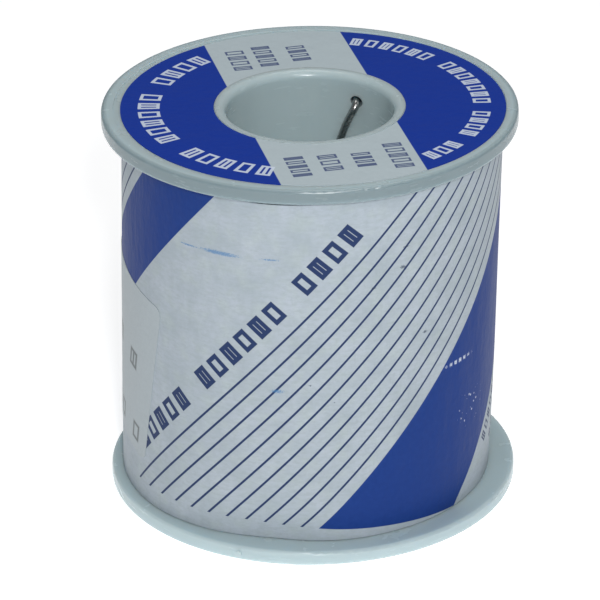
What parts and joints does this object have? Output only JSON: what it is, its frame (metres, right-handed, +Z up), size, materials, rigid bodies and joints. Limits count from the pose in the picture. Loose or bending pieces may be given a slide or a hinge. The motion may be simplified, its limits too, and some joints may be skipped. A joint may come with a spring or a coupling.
{
  "type": "solder wire spool",
  "caption": "Flanged plastic reel full of wound solder wire, with a paper wrap label, a ring sticker and the wire's start tail showing in its bore.",
  "frame": {"origin": "centre of the underside, where the bore's axis meets the surface that the reel stands on", "axes": "+Z up along the bore's axis; -Y is the front, where the wrap label's diagonal stripes are; +X is to the right seen from the front"},
  "size_m": [0.063, 0.063, 0.062],
  "materials": {
    "spool_plastic": "natural grey translucent moulded plastic, satin to gloss",
    "solder": "drawn tin-lead wire, dull grey with bright streaks",
    "flux": "amber rosin",
    "clear_tape": "clear adhesive tape",
    "label_paper": "coated paper, printed with dark blue bands and stripes",
    "sticker_paper": "plain white matt paper",
    "ring_sticker_paper": "glossy paper, printed blue with a grey band"
  },
  "bodies": {
    "root": {"lower_spool_half": "spool_plastic", "upper_spool_half": "spool_plastic", "solder_inner_layers": "solder", "solder_outer_layer": "solder", "solder_outer_end": "solder", "outer_end_flux_core": "flux", "solder_start_tail": "solder", "start_tail_flux_core": "flux", "outer_end_tape": "clear_tape", "wrap_label": "label_paper", "batch_sticker": "sticker_paper", "ring_sticker": "ring_sticker_paper"}
  },
  "joints": []
}
